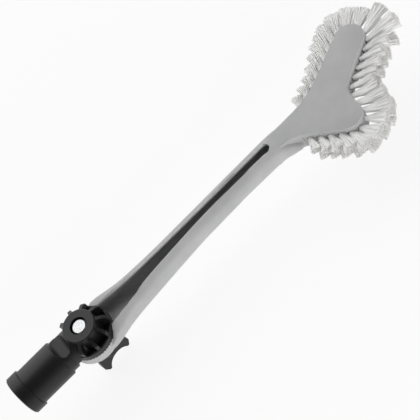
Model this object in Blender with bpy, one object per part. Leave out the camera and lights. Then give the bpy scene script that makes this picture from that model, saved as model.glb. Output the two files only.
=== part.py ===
"""Moulding brush for an extension pole.

A one-piece plastic handle and head carries two rows of staple-set tufts round the
edge of its two-lobed head. A pole socket turns on a cross bolt at the other end.
Face teeth between socket and handle hold the angle, and a wing nut clamps them.

X runs from the pivot to the head, Z is the pivot axis, and the origin is the centre
of the bolt head's face. All sizes are in metres.
"""

from math import acos, asin, atan2, ceil, cos, hypot, pi, radians, sin, sqrt

import bmesh
import bpy
from mathutils import Vector

for old in list(bpy.data.objects):
    bpy.data.objects.remove(old, do_unlink=True)

# Fits and cuts
GAP = 0.0003              # between pieces that touch
OVERRUN = 0.002           # how far a cut runs past a face
BURY = 0.0008             # how far a joined shape reaches into its neighbour

# Pivot bolt, a hexagon bolt of 6 mm thread
BOLT_RADIUS = 0.003
BOLT_LENGTH = 0.045
BOLT_TIP_CHAMFER = 0.0006
BOLT_HEAD_CORNER_RADIUS = 0.0066
BOLT_HEAD_HEIGHT = 0.0040
BOLT_HEAD_FACE_RADIUS = 0.0054   # inside the chamfer
BOLT_HEAD_CHAMFER = 0.0009
THREAD_ALLOWANCE = GAP

# Hub of the pole socket
HUB_RADIUS = 0.02175      # toothed rear disc
HUB_DISC_THICKNESS = 0.0030
HUB_RIM_HEIGHT = 0.0048    # outer wall of the pockets, over the disc's face
HUB_RIM_WALL = 0.0016
BOSS_RADIUS = 0.01424
BOSS_HEIGHT = 0.0189      # from the plane of the teeth to the boss's front face
BOSS_EDGE_ROUND = 0.0007
HEAD_RECESS_RADIUS = 0.0073
HEAD_RECESS_SINK = 0.0013  # bolt head's face below the boss's face
RIB_COUNT = 10
RIB_THICKNESS = 0.0028
RIB_FIRST_ANGLE = radians(16)
RIB_CORNER_HEIGHT = 0.0115
RIB_SHOULDER_HEIGHT = 0.0142
RIB_SHOULDER_RADIUS = 0.0196
RIB_TOP_DROP = 0.0016
RIB_RIM_SETBACK = 0.0003

# Face teeth
TOOTH_COUNT = 48
TOOTH_HEIGHT = 0.0012     # from the roots to the crests
TOOTH_CLEARANCE = 0.00045  # along Z, between meshed teeth
TOOTH_INNER_RADIUS = 0.0156
TOOTH_RUN_OUT = 0.0010    # slope at the teeth's inner ends
TEETH_Z = HEAD_RECESS_SINK - BOSS_HEIGHT

# Pole socket's barrel
BARREL_RADIUS = 0.0164
BARREL_AXIS_HEIGHT = 0.0044   # above the plane of the teeth
BARREL_END_X = -0.0712
COLLAR_RADIUS = 0.01784
COLLAR_LENGTH = 0.0100
COLLAR_EDGE_ROUND = 0.0009
NECK_RADIUS = 0.0149
NECK_START_X = -0.0275
NECK_SHOULDER = 0.0012
BRIDGE_SETBACK = 0.0004   # of the bridge over the disc, inside the neck
SADDLE_RADIUS = 0.0070    # hollow across the neck's top, beside the boss
SADDLE_HEIGHT = 0.0146    # its lowest line above the plane of the teeth
POLE_RADIUS = 0.0120
POLE_CLEARANCE = 0.0002
POLE_DEPTH = 0.0410
MOUTH_CHAMFER = 0.0010

# Handle
HUB_RUNNING_CLEARANCE = 0.0004
HANDLE_DISC_THICKNESS = 0.0092
REAR_BOSS_RADIUS = 0.0085
REAR_BOSS_HEIGHT = 0.0102
HANDLE_LENGTH = 0.2100    # pivot axis to the head's root
TUBE_RADIUS = 0.0118
TUBE_RISE = 0.0034        # tube's centre above the plane of the teeth, near the head
TUBE_WALL = 0.0025
CREST_SHARE = 0.86        # of the lower half's depth that the flatter upper half has
SLOT_END_SETBACK = 0.0070   # before the head's root
SLOT_HALF_WIDTH = 0.0034  # at the head end
CHANNEL_START = 0.0050    # inside the rim of the toothed disc
SIDES_HANDLE = 32

# Each row: place along the handle, half-width, centre height and half-depth, as
# shares of HANDLE_LENGTH, TUBE_RADIUS, TUBE_RISE and TUBE_RADIUS, then the fullness
# of the section's corners
HANDLE_SECTION_SHARES = (
    (0.020, 1.815, -1.571, 0.361, 4.0),
    (0.045, 1.835, -1.650, 0.388, 4.0),
    (0.060, 1.840, -1.205, 0.551, 4.0),
    (0.078, 1.825, -0.700, 0.695, 3.7),
    (0.100, 1.755, -0.540, 0.762, 3.3),
    (0.148, 1.540, -0.420, 0.856, 2.8),
    (0.195, 1.385, -0.560, 0.940, 2.5),
    (0.240, 1.285, -0.550, 1.045, 2.3),
    (0.330, 1.165, -0.350, 1.120, 2.1),
    (0.420, 1.095, -0.050, 1.085, 2.0),
    (0.550, 1.020, 0.450, 1.020, 2.0),
    (0.780, 0.985, 0.800, 0.985, 2.0),
    (0.955, 1.015, 0.720, 1.010, 2.0),
    (1.000, 1.080, 0.400, 0.920, 2.2),
    (1.030, 1.220, -0.350, 0.700, 2.4),
    (1.055, 1.280, -0.850, 0.520, 2.6),
    (1.080, 1.080, -0.950, 0.460, 2.8),
    (1.110, 0.700, -0.950, 0.440, 3.0),
)

# Each row: place along the handle and half-width of the slot, as shares of
# HANDLE_LENGTH and SLOT_HALF_WIDTH
SLOT_SHARES = (
    (0.080, 3.32),
    (0.125, 3.28),
    (0.150, 3.08),
    (0.180, 2.78),
    (0.220, 2.44),
    (0.260, 2.05),
    (0.320, 1.74),
    (0.400, 1.49),
    (0.500, 1.25),
    (0.600, 1.05),
    (0.700, 0.97),
    (0.800, 0.95),
    (0.880, 1.03),
    (0.950, 1.08),
)

# Head: two lobes, each drawn round a circle, with a notch between them
HEAD_TOP = 0.0100         # above the plane of the teeth
HEAD_THICKNESS = 0.0185
HEAD_EDGE_ROUND = 0.0012
LONG_LOBE_REACH = 0.0990  # lobes' centres beyond the handle's end
LONG_LOBE_OFFSET = 0.0213
LONG_LOBE_RADIUS = 0.0127
SHORT_LOBE_REACH = 0.0513
SHORT_LOBE_OFFSET = 0.0302
SHORT_LOBE_RADIUS = 0.0126
NOTCH_RADIUS = 0.0178
NOTCH_BEARING = radians(14)   # its centre seen from the short lobe's
NOTCH_LEAD = 0.0017       # straight run between short lobe and notch
ROOT_OVERLAP = 0.0110     # how far the head reaches back into the handle
ROOT_HALF_WIDTH = 0.0080
LEFT_BLEND_RADIUS = 0.0700
LEFT_STRAIGHT = 0.0425    # edge between the blend and the long lobe
RIGHT_BLEND_RADIUS = 0.0300
RIGHT_STRAIGHT = 0.0330   # edge between the blend and the short lobe
ARC_STEP = radians(11)

# Tufts: a groove in the head's edge holds the backing slices
GROOVE_TOP_LIP = 0.0034
GROOVE_BOTTOM_LIP = 0.0022
GROOVE_DEPTH = 0.0060
TUFT_SETBACK = 0.0004     # backing's face inside the head's edge
TUFT_RUN_START = 0.0284   # along the head's edge from its right root
TUFT_RUN_END = 0.0400     # and before its left root
TUFT_COLUMNS = 28
COLUMNS_PER_SLICE = 2
STRAND_WIDTH = 0.0008
STRAND_SPACING = 0.0004
ALONG_STRAND_COUNT = 3
UPWARD_STRAND_COUNT = 2
ROW_HEIGHTS = (-0.0042, 0.0021)   # above the plane of the teeth
ROW_TILTS = (radians(-13), radians(6))
TUFT_LENGTH = 0.0270
TIP_SPREAD = 1.7
TIP_TAPER = 0.85

# Each row: place along the tufted edge as a share, the way that the tufts point in
# degrees from X, and their length as a share of TUFT_LENGTH
TUFT_AIM_SHARES = (
    (0.000, -106, 0.54),
    (0.050, -104, 0.60),
    (0.090, -103, 0.63),
    (0.130, -97, 0.68),
    (0.160, -86, 0.77),
    (0.200, -66, 0.74),
    (0.225, -52, 0.76),
    (0.250, -43, 0.87),
    (0.275, -35, 0.98),
    (0.300, -27, 1.05),
    (0.335, -25, 0.98),
    (0.360, -27, 0.89),
    (0.400, -35, 0.83),
    (0.480, -31, 0.83),
    (0.520, -28, 0.84),
    (0.550, -14, 1.15),
    (0.570, 0, 1.24),
    (0.590, 11, 1.00),
    (0.620, 27, 0.69),
    (0.650, 43, 0.74),
    (0.680, 60, 0.83),
    (0.710, 72, 0.89),
    (0.740, 79, 0.93),
    (0.800, 76, 0.93),
    (0.860, 74, 0.76),
    (0.920, 72, 0.60),
    (1.000, 72, 0.44),
)

# Wing nut with a pressed-in threaded insert, and its washer
WASHER_RADIUS = 0.0090
WASHER_THICKNESS = 0.0016
NUT_HUB_RADIUS = 0.0080
NUT_HUB_LENGTH = 0.0112
NUT_LENGTH = 0.0186       # from its seat to the valley between the wings
WING_THICKNESS = 0.0064
WING_REACH = 0.0153
WING_SHOULDER_RADIUS = 0.0020
WING_SHOULDER_REACH = 0.0139
WING_SHOULDER_DEPTH = 0.0106   # depths are from the nut's seat
WING_SIDE_RADIUS = 0.0028
WING_SIDE_DEPTH = 0.0203
WING_TIP_RADIUS = 0.0013
WING_TIP_REACH = 0.0129
WING_TIP_DEPTH = 0.0264
VALLEY_SHARE = 0.98       # of the radius that would touch both tips
WING_ROOT_RADIUS = 0.0030
WING_ROOT_REACH = 0.0070
WING_ROOT_DEPTH = 0.0050
INSERT_RADIUS = 0.0045
INSERT_LENGTH = 0.0095
NUT_TILT = radians(11)    # how the wings happen to stand, from X

SIDES_LARGE = 64
SIDES_MEDIUM = 40
SIDES_SMALL = 24

BARREL_Z = TEETH_Z + BARREL_AXIS_HEIGHT
HUB_CLEAR_RADIUS = HUB_RADIUS + HUB_RUNNING_CLEARANCE


def material(name, colour, roughness, metallic=0.0):
    mat = bpy.data.materials.new(name)
    mat.use_nodes = True
    shader = mat.node_tree.nodes["Principled BSDF"]
    shader.inputs["Base Color"].default_value = (*colour, 1.0)
    shader.inputs["Roughness"].default_value = roughness
    shader.inputs["Metallic"].default_value = metallic
    return mat


def make_object(name, bm, mat=None, sharp=radians(35)):
    """Turn a finished bmesh into an object with its faces pointing out."""
    bmesh.ops.recalc_face_normals(bm, faces=bm.faces)
    mesh = bpy.data.meshes.new(name)
    bm.to_mesh(mesh)
    bm.free()
    mesh.shade_smooth()
    mesh.set_sharp_from_angle(angle=sharp)
    if mat:
        mesh.materials.append(mat)
    obj = bpy.data.objects.new(name, mesh)
    bpy.context.scene.collection.objects.link(obj)
    return obj


def add_tool(obj, tool, operation):
    """Join or cut obj with a hidden helper shape."""
    tool.hide_render = True
    tool.display_type = "WIRE"
    mod = obj.modifiers.new(tool.name, "BOOLEAN")
    mod.object = tool
    mod.operation = operation
    mod.solver = "EXACT"


def join(obj, tool):
    add_tool(obj, tool, "UNION")


def cut(obj, tool):
    add_tool(obj, tool, "DIFFERENCE")


def skin(rings, close_rings=False):
    """Skin equal rings of points; the ends are capped unless the rings close up."""
    bm = bmesh.new()
    loops = [[bm.verts.new(point) for point in ring] for ring in rings]
    count = len(rings[0])
    last = len(loops) if close_rings else len(loops) - 1
    for i in range(last):
        one, two = loops[i], loops[(i + 1) % len(loops)]
        for j in range(count):
            k = (j + 1) % count
            bm.faces.new((one[j], one[k], two[k], two[j]))
    if not close_rings:
        bm.faces.new(loops[0])
        bm.faces.new(loops[-1])
    return bm


def prism(outline, low, high):
    """Stand a flat outline up between two heights."""
    return skin([[(x, y, z) for x, y in outline] for z in (low, high)])


def turned(profile, sides, axis="Z", centre=(0.0, 0.0, 0.0)):
    """Turn a profile of (radius, height) pairs; a pair on the axis makes a point.
    A third value is added to the height of every second point, for face teeth, and
    its sign picks which: the even ones rise, or the odd ones fall."""
    bm = bmesh.new()
    rings = []
    for radius, height, *teeth in profile:
        count = sides if radius > 0 else 1
        rise = teeth[0] if teeth else 0
        ring = []
        for i in range(count):
            turn = 2 * pi * i / sides
            across, up = radius * cos(turn), radius * sin(turn)
            level = height + rise if (i % 2 == 0) == (rise > 0) else height
            point = (across, up, level) if axis == "Z" else (level, across, up)
            ring.append(bm.verts.new(Vector(point) + Vector(centre)))
        rings.append(ring)
    for one, two in zip(rings, rings[1:]):
        for i in range(sides):
            k = (i + 1) % sides
            corners = [one[i % len(one)], one[k % len(one)]]
            corners += [two[k % len(two)], two[i % len(two)]]
            bm.faces.new(list(dict.fromkeys(corners)))
    return bm


def cylinder(name, radius, low, high, sides, axis="Z", centre=(0.0, 0.0, 0.0)):
    profile = [(0, high), (radius, high), (radius, low), (0, low)]
    return make_object(name, turned(profile, sides, axis, centre))


def belt(circles):
    """Points of a belt round circles of (x, y, radius); a negative radius turns
    the belt the other way, and the first and last circles are its end points."""
    touches = []
    for (x1, y1, r1), (x2, y2, r2) in zip(circles, circles[1:]):
        along = atan2(y2 - y1, x2 - x1)
        out = along - acos((r1 - r2) / hypot(x2 - x1, y2 - y1))
        touches.append(out)
    points = [(circles[0][0], circles[0][1])]
    for i in range(1, len(circles) - 1):
        x, y, radius = circles[i]
        start, end = touches[i - 1], touches[i]
        turn = (end - start + pi) % (2 * pi) - pi
        if radius > 0 and turn < 0:
            turn += 2 * pi
        steps = max(1, ceil(abs(turn) / ARC_STEP))
        for k in range(steps + 1):
            angle = start + turn * k / steps
            points.append((x + radius * cos(angle), y + radius * sin(angle)))
    points.append((circles[-1][0], circles[-1][1]))
    return points


def lookup(table, place, column):
    """Read a table of rows at a place between two of them."""
    if place <= table[0][0]:
        return table[0][column]
    for low, high in zip(table, table[1:]):
        if place <= high[0]:
            share = (place - low[0]) / (high[0] - low[0])
            return low[column] + share * (high[column] - low[column])
    return table[-1][column]


def eased(table, place, column):
    """The same, read as a smooth curve through the rows."""
    step = (table[-1][0] - table[0][0]) / (4 * len(table))
    near = [lookup(table, place + step * k, column) for k in (-1, 0, 1)]
    return (near[0] + 2 * near[1] + near[2]) / 4


grey_plastic = material("grey_plastic", (0.47, 0.47, 0.48), 0.45)
black_plastic = material("black_plastic", (0.018, 0.018, 0.020), 0.35)
knob_plastic = material("knob_plastic", (0.020, 0.020, 0.022), 0.40)
zinc_steel = material("zinc_plated_steel", (0.80, 0.80, 0.82), 0.25, 1.0)
washer_steel = material("washer_steel", (0.62, 0.62, 0.64), 0.35, 1.0)
brass = material("brass", (0.80, 0.60, 0.25), 0.30, 1.0)
bristle_nylon = material("white_nylon", (0.86, 0.86, 0.85), 0.50)


# Faces between the teeth
HANDLE_FACE_Z = TEETH_Z - (TOOTH_HEIGHT + TOOTH_CLEARANCE) / 2
SOCKET_FACE_Z = TEETH_Z + (TOOTH_HEIGHT + TOOTH_CLEARANCE) / 2
HANDLE_REAR_Z = TEETH_Z - HANDLE_DISC_THICKNESS
HEAD_TOP_Z = TEETH_Z + HEAD_TOP
HEAD_BOTTOM_Z = HEAD_TOP_Z - HEAD_THICKNESS


# Handle and head, one moulding
def handle_section(place, inset):
    """Points of the handle's cross-section at a share of its length."""
    x = place * HANDLE_LENGTH
    half_width = eased(HANDLE_SECTION_SHARES, place, 1) * TUBE_RADIUS - inset
    centre = TEETH_Z + eased(HANDLE_SECTION_SHARES, place, 2) * TUBE_RISE
    half_depth = eased(HANDLE_SECTION_SHARES, place, 3) * TUBE_RADIUS
    half_crest = half_depth * CREST_SHARE - inset
    half_depth -= inset
    power = 2 / eased(HANDLE_SECTION_SHARES, place, 4)
    ring = []
    for i in range(SIDES_HANDLE):
        turn = 2 * pi * (i + 0.5) / SIDES_HANDLE
        across = abs(cos(turn)) ** power * (1 if cos(turn) > 0 else -1)
        up = abs(sin(turn)) ** power * (1 if sin(turn) > 0 else -1)
        depth = half_crest if up > 0 else half_depth
        ring.append((x, half_width * across, centre + depth * up))
    return ring


def places(start, end, count):
    return [start + (end - start) * i / count for i in range(count + 1)]


head_first = HANDLE_SECTION_SHARES[0][0]
head_last = HANDLE_SECTION_SHARES[-1][0]
handle_rings = [handle_section(p, 0.0) for p in places(head_first, head_last, 36)]
handle = make_object("handle_head", skin(handle_rings), grey_plastic)

# The socket's hub turns in this space
cut(handle, cylinder("hub_space", HUB_CLEAR_RADIUS, HANDLE_FACE_Z - BURY,
                     HEAD_TOP_Z + BOSS_HEIGHT, SIDES_LARGE))


# Head block
neck_x = HANDLE_LENGTH - ROOT_OVERLAP
short_x = HANDLE_LENGTH + SHORT_LOBE_REACH
long_x = HANDLE_LENGTH + LONG_LOBE_REACH
notch_reach = SHORT_LOBE_RADIUS + NOTCH_LEAD + NOTCH_RADIUS
notch_x = short_x + notch_reach * cos(NOTCH_BEARING)
notch_y = -SHORT_LOBE_OFFSET + notch_reach * sin(NOTCH_BEARING)


def blend_circle(side, radius, straight, lobe_x, lobe_offset, lobe_radius):
    """Circle of the blend from the neck to a lobe, a straight edge short of it."""
    y = side * (ROOT_HALF_WIDTH + radius)
    rise = y - side * lobe_offset
    reach = sqrt((radius + lobe_radius) ** 2 + straight ** 2 - rise ** 2)
    return lobe_x - reach, y, -radius


head_circles = (
    (neck_x, -ROOT_HALF_WIDTH, 0.0),
    blend_circle(-1, RIGHT_BLEND_RADIUS, RIGHT_STRAIGHT, short_x, SHORT_LOBE_OFFSET,
                 SHORT_LOBE_RADIUS),
    (short_x, -SHORT_LOBE_OFFSET, SHORT_LOBE_RADIUS),
    (notch_x, notch_y, -NOTCH_RADIUS),
    (long_x, LONG_LOBE_OFFSET, LONG_LOBE_RADIUS),
    blend_circle(1, LEFT_BLEND_RADIUS, LEFT_STRAIGHT, long_x, LONG_LOBE_OFFSET,
                 LONG_LOBE_RADIUS),
    (neck_x, ROOT_HALF_WIDTH, 0.0),
)
edge = belt(head_circles)
edge_marks = [0.0]
for (x1, y1), (x2, y2) in zip(edge, edge[1:]):
    edge_marks.append(edge_marks[-1] + hypot(x2 - x1, y2 - y1))
TUFT_RUN = edge_marks[-1] - TUFT_RUN_START - TUFT_RUN_END


def edge_point(travel):
    """Point of the head's edge at a distance along it."""
    for i in range(len(edge) - 1):
        if travel <= edge_marks[i + 1] or i == len(edge) - 2:
            share = (travel - edge_marks[i]) / (edge_marks[i + 1] - edge_marks[i])
            return Vector(edge[i]).lerp(Vector(edge[i + 1]), share)


def edge_frame(travel):
    """Point of the edge and the way out of it, eased over a strand's width."""
    point = edge_point(travel)
    way = edge_point(travel + STRAND_WIDTH) - edge_point(travel - STRAND_WIDTH)
    way.normalize()
    return point, Vector((way.y, -way.x))


def edge_strip(start, end, count, outer, inner, low, high):
    """Closed strip that follows the head's edge between two depths."""
    rings = []
    for travel in places(start, end, count):
        point, out = edge_frame(travel)
        far, near = point + out * outer, point - out * inner
        rings.append([(*near, low), (*far, low), (*far, high), (*near, high)])
    return skin(rings)


head = make_object("head_block", prism(edge, HEAD_BOTTOM_Z, HEAD_TOP_Z))
bevel = head.modifiers.new("edge_round", "BEVEL")
bevel.width = HEAD_EDGE_ROUND
bevel.segments = 2
bevel.limit_method = "ANGLE"
bevel.angle_limit = radians(60)
groove_low = HEAD_BOTTOM_Z + GROOVE_BOTTOM_LIP
groove_high = HEAD_TOP_Z - GROOVE_TOP_LIP
groove_start = TUFT_RUN_START - GAP
groove_end = TUFT_RUN_START + TUFT_RUN + GAP
join(handle, head)

# Slot along the front of the handle, into its hollow
slot_end_x = HANDLE_LENGTH - SLOT_END_SETBACK
channel_start_x = HUB_RADIUS - CHANNEL_START
slot_left = []
slot_right = []
slot_straight_end = slot_end_x - SLOT_HALF_WIDTH
slot_first = (channel_start_x + BURY) / HANDLE_LENGTH
for place in places(slot_first, slot_straight_end / HANDLE_LENGTH, 18):
    half = eased(SLOT_SHARES, place, 1) * SLOT_HALF_WIDTH
    slot_right.append((place * HANDLE_LENGTH, -half))
    slot_left.append((place * HANDLE_LENGTH, half))
slot_end_half = slot_left[-1][1]
slot_round = []
for k in range(1, 8):
    turn = -pi / 2 + pi * k / 8
    x = slot_straight_end + slot_end_half * cos(turn)
    slot_round.append((x, slot_end_half * sin(turn)))
slot_outline = slot_right + slot_round + slot_left[::-1]
cut(handle, make_object("handle_slot", prism(slot_outline, HANDLE_FACE_Z - BURY / 2,
                                             HEAD_TOP_Z + HEAD_THICKNESS)))
hollow_rings = [handle_section(p, TUBE_WALL)
                for p in places(channel_start_x / HANDLE_LENGTH,
                                (slot_end_x + TUBE_WALL) / HANDLE_LENGTH, 22)]
cut(handle, make_object("handle_hollow", skin(hollow_rings)))

# Toothed disc that the socket's hub lies on, with a boss behind for the nut
disc_profile = [(0, HANDLE_FACE_Z), (TOOTH_INNER_RADIUS - TOOTH_RUN_OUT, HANDLE_FACE_Z)]
disc_profile += [(TOOTH_INNER_RADIUS, HANDLE_FACE_Z, TOOTH_HEIGHT)]
disc_profile += [(HUB_RADIUS, HANDLE_FACE_Z, TOOTH_HEIGHT)]
disc_profile += [(HUB_RADIUS, HANDLE_REAR_Z + COLLAR_EDGE_ROUND)]
disc_profile += [(HUB_RADIUS - COLLAR_EDGE_ROUND, HANDLE_REAR_Z)]
disc_profile += [(REAR_BOSS_RADIUS, HANDLE_REAR_Z)]
disc_profile += [(REAR_BOSS_RADIUS, HANDLE_REAR_Z - REAR_BOSS_HEIGHT)]
disc_profile += [(0, HANDLE_REAR_Z - REAR_BOSS_HEIGHT)]
join(handle, make_object("handle_disc", turned(disc_profile, 2 * TOOTH_COUNT)))
cut(handle, make_object("head_groove", edge_strip(
    groove_start, groove_end, 4 * TUFT_COLUMNS, OVERRUN, GROOVE_DEPTH,
    groove_low, groove_high)))
cut(handle, cylinder("bolt_hole", BOLT_RADIUS + GAP,
                     HANDLE_REAR_Z - REAR_BOSS_HEIGHT - OVERRUN,
                     TEETH_Z + OVERRUN, SIDES_SMALL))


# Tufts: strands rise from a lattice on each slice's outer face
def strand_lattice(centre, count):
    """Start and end of each strand across a tuft's middle."""
    pitch = STRAND_WIDTH + STRAND_SPACING
    first = centre - pitch * (count - 1) / 2
    return [(first + pitch * i - STRAND_WIDTH / 2, first + pitch * i + STRAND_WIDTH / 2)
            for i in range(count)]


def tuft_slice(name, first_column):
    pitch = TUFT_RUN / TUFT_COLUMNS
    start = TUFT_RUN_START + first_column * pitch
    end = start + COLUMNS_PER_SLICE * pitch
    columns = [start + GAP / 2]
    strand_columns = {}
    for c in range(COLUMNS_PER_SLICE):
        middle = start + (c + 0.5) * pitch
        for low, high in strand_lattice(middle, ALONG_STRAND_COUNT):
            strand_columns[len(columns)] = middle
            columns += [low, high]
    columns.append(end - GAP / 2)
    levels = [groove_low + GAP]
    strand_levels = {}
    for row, height in enumerate(ROW_HEIGHTS):
        for low, high in strand_lattice(TEETH_Z + height, UPWARD_STRAND_COUNT):
            strand_levels[len(levels)] = row
            levels += [low, high]
    levels.append(groove_high - GAP)

    bm = bmesh.new()
    outer, inner = [], []
    for travel in columns:
        point, out = edge_frame(travel)
        back = point - out * (GROOVE_DEPTH - GAP)
        point = point - out * TUFT_SETBACK
        outer.append([bm.verts.new((*point, z)) for z in levels])
        inner.append([bm.verts.new((*back, z)) for z in (levels[0], levels[-1])])
    for i in range(len(columns) - 1):
        bm.faces.new((inner[i][0], inner[i + 1][0], inner[i + 1][1], inner[i][1]))
        bm.faces.new((inner[i][0], outer[i][0], outer[i + 1][0], inner[i + 1][0]))
        bm.faces.new((inner[i][1], inner[i + 1][1], outer[i + 1][-1], outer[i][-1]))
        for j in range(len(levels) - 1):
            base = [outer[i][j], outer[i + 1][j], outer[i + 1][j + 1], outer[i][j + 1]]
            if i in strand_columns and j in strand_levels:
                tip = strand_tip(bm, base, strand_columns[i], strand_levels[j])
                for k in range(4):
                    m = (k + 1) % 4
                    bm.faces.new((base[k], base[m], tip[m], tip[k]))
                bm.faces.new(tip)
            else:
                bm.faces.new(base)
    for i in (0, -1):
        bm.faces.new([inner[i][0], *outer[i], inner[i][1]])
    return make_object(name, bm, bristle_nylon)


def strand_tip(bm, base, middle, row):
    """Tip of a strand, spread from the middle of its tuft."""
    share = (middle - TUFT_RUN_START) / TUFT_RUN
    heading = radians(eased(TUFT_AIM_SHARES, share, 1))
    length = eased(TUFT_AIM_SHARES, share, 2) * TUFT_LENGTH
    tilt = ROW_TILTS[row]
    aim = Vector((cos(heading) * cos(tilt), sin(heading) * cos(tilt), sin(tilt)))
    side = Vector((-sin(heading), cos(heading), 0.0))
    lift = side.cross(aim) * -1
    root, out = edge_frame(middle)
    root = Vector((*(root - out * TUFT_SETBACK), TEETH_Z + ROW_HEIGHTS[row]))
    centre = sum((v.co for v in base), Vector()) / 4
    offset = centre - root
    end = root + aim * length
    end += side * offset.dot(side) * TIP_SPREAD + lift * offset.dot(lift) * TIP_SPREAD
    tip = []
    for vert in base:
        own = vert.co - centre
        place = end + side * own.dot(side) * TIP_TAPER + lift * own.dot(lift) * TIP_TAPER
        tip.append(bm.verts.new(place))
    return tip


for index in range(TUFT_COLUMNS // COLUMNS_PER_SLICE):
    tuft_slice(f"tufts_{index + 1:02d}", index * COLUMNS_PER_SLICE)


# Pole socket: hub, neck and barrel in one moulding
NECK_END_X = -HUB_CLEAR_RADIUS
barrel_profile = [(0, NECK_END_X), (NECK_RADIUS, NECK_END_X)]
barrel_profile += [(NECK_RADIUS, NECK_START_X)]
barrel_profile += [(BARREL_RADIUS, NECK_START_X - NECK_SHOULDER)]
collar_x = BARREL_END_X + COLLAR_LENGTH
barrel_profile += [(BARREL_RADIUS, collar_x), (COLLAR_RADIUS, collar_x)]
barrel_profile += [(COLLAR_RADIUS, BARREL_END_X + COLLAR_EDGE_ROUND)]
barrel_profile += [(COLLAR_RADIUS - COLLAR_EDGE_ROUND, BARREL_END_X), (0, BARREL_END_X)]
socket = make_object("pole_socket", turned(barrel_profile, SIDES_LARGE, "X",
                                           (0, 0, BARREL_Z)), black_plastic)

boss_z = TEETH_Z + BOSS_HEIGHT
hub_profile = [(0, boss_z), (BOSS_RADIUS - BOSS_EDGE_ROUND, boss_z)]
hub_profile += [(BOSS_RADIUS, boss_z - BOSS_EDGE_ROUND)]
hub_profile += [(BOSS_RADIUS, SOCKET_FACE_Z + HUB_DISC_THICKNESS)]
hub_profile += [(HUB_RADIUS - HUB_RIM_WALL, SOCKET_FACE_Z + HUB_DISC_THICKNESS)]
hub_profile += [(HUB_RADIUS - HUB_RIM_WALL, SOCKET_FACE_Z + HUB_RIM_HEIGHT)]
hub_profile += [(HUB_RADIUS, SOCKET_FACE_Z + HUB_RIM_HEIGHT)]
hub_profile += [(HUB_RADIUS, SOCKET_FACE_Z, -TOOTH_HEIGHT)]
hub_profile += [(TOOTH_INNER_RADIUS, SOCKET_FACE_Z, -TOOTH_HEIGHT)]
hub_profile += [(TOOTH_INNER_RADIUS - TOOTH_RUN_OUT, SOCKET_FACE_Z), (0, SOCKET_FACE_Z)]
join(socket, make_object("hub", turned(hub_profile, 2 * TOOTH_COUNT)))

# The neck runs on over the disc into the boss
bridge_low = SOCKET_FACE_Z + BURY - BARREL_Z
bridge_radius = NECK_RADIUS - BRIDGE_SETBACK
bridge_from = asin(bridge_low / bridge_radius)
bridge_section = []
for k in range(25):
    turn = bridge_from + (pi - 2 * bridge_from) * k / 24
    bridge_section.append((bridge_radius * cos(turn), BARREL_Z + bridge_radius * sin(turn)))
bridge_rings = [[(x, y, z) for y, z in bridge_section]
                for x in (NECK_START_X + BURY, -BOSS_RADIUS / 2)]
join(socket, make_object("neck_bridge", skin(bridge_rings)))
saddle_x = -BOSS_RADIUS - SADDLE_RADIUS
saddle_z = TEETH_Z + SADDLE_HEIGHT + SADDLE_RADIUS
saddle_rings = []
for y in (-NECK_RADIUS - OVERRUN, NECK_RADIUS + OVERRUN):
    turns = [2 * pi * k / SIDES_MEDIUM for k in range(SIDES_MEDIUM)]
    saddle_rings.append([(saddle_x + SADDLE_RADIUS * cos(turn), y,
                          saddle_z + SADDLE_RADIUS * sin(turn)) for turn in turns])
cut(socket, make_object("neck_saddle", skin(saddle_rings)))

# Ribs from the boss to the rim of the disc
rib_low = SOCKET_FACE_Z + BURY
rib_profile = ((BOSS_RADIUS / 2, rib_low), (HUB_RADIUS - RIB_RIM_SETBACK, rib_low))
rib_profile += ((HUB_RADIUS - RIB_RIM_SETBACK, TEETH_Z + RIB_CORNER_HEIGHT),)
rib_profile += ((RIB_SHOULDER_RADIUS, TEETH_Z + RIB_SHOULDER_HEIGHT),)
rib_profile += ((BOSS_RADIUS - BOSS_EDGE_ROUND, boss_z - RIB_TOP_DROP),)
rib_profile += ((BOSS_RADIUS / 2, boss_z - RIB_TOP_DROP),)
for index in range(RIB_COUNT):
    angle = RIB_FIRST_ANGLE + 2 * pi * index / RIB_COUNT
    way = Vector((cos(angle), sin(angle), 0))
    side = Vector((-sin(angle), cos(angle), 0)) * RIB_THICKNESS / 2
    rings = []
    for sign in (-1, 1):
        rings.append([way * r + side * sign + Vector((0, 0, z)) for r, z in rib_profile])
    join(socket, make_object(f"rib_{index + 1:02d}", skin(rings)))

bore_radius = POLE_RADIUS + POLE_CLEARANCE
bore_end = BARREL_END_X + POLE_DEPTH
bore_profile = [(0, bore_end), (bore_radius, bore_end)]
bore_profile += [(bore_radius, BARREL_END_X + MOUTH_CHAMFER)]
mouth_radius = bore_radius + MOUTH_CHAMFER + OVERRUN
bore_profile += [(mouth_radius, BARREL_END_X - OVERRUN), (0, BARREL_END_X - OVERRUN)]
cut(socket, make_object("pole_bore", turned(bore_profile, SIDES_LARGE, "X",
                                            (0, 0, BARREL_Z))))
head_seat_z = -BOLT_HEAD_HEIGHT - GAP
hole_profile = [(0, boss_z + OVERRUN), (HEAD_RECESS_RADIUS, boss_z + OVERRUN)]
hole_profile += [(HEAD_RECESS_RADIUS, head_seat_z), (BOLT_RADIUS + GAP, head_seat_z)]
hole_profile += [(BOLT_RADIUS + GAP, TEETH_Z - OVERRUN), (0, TEETH_Z - OVERRUN)]
cut(socket, make_object("bolt_way", turned(hole_profile, SIDES_MEDIUM)))


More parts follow.
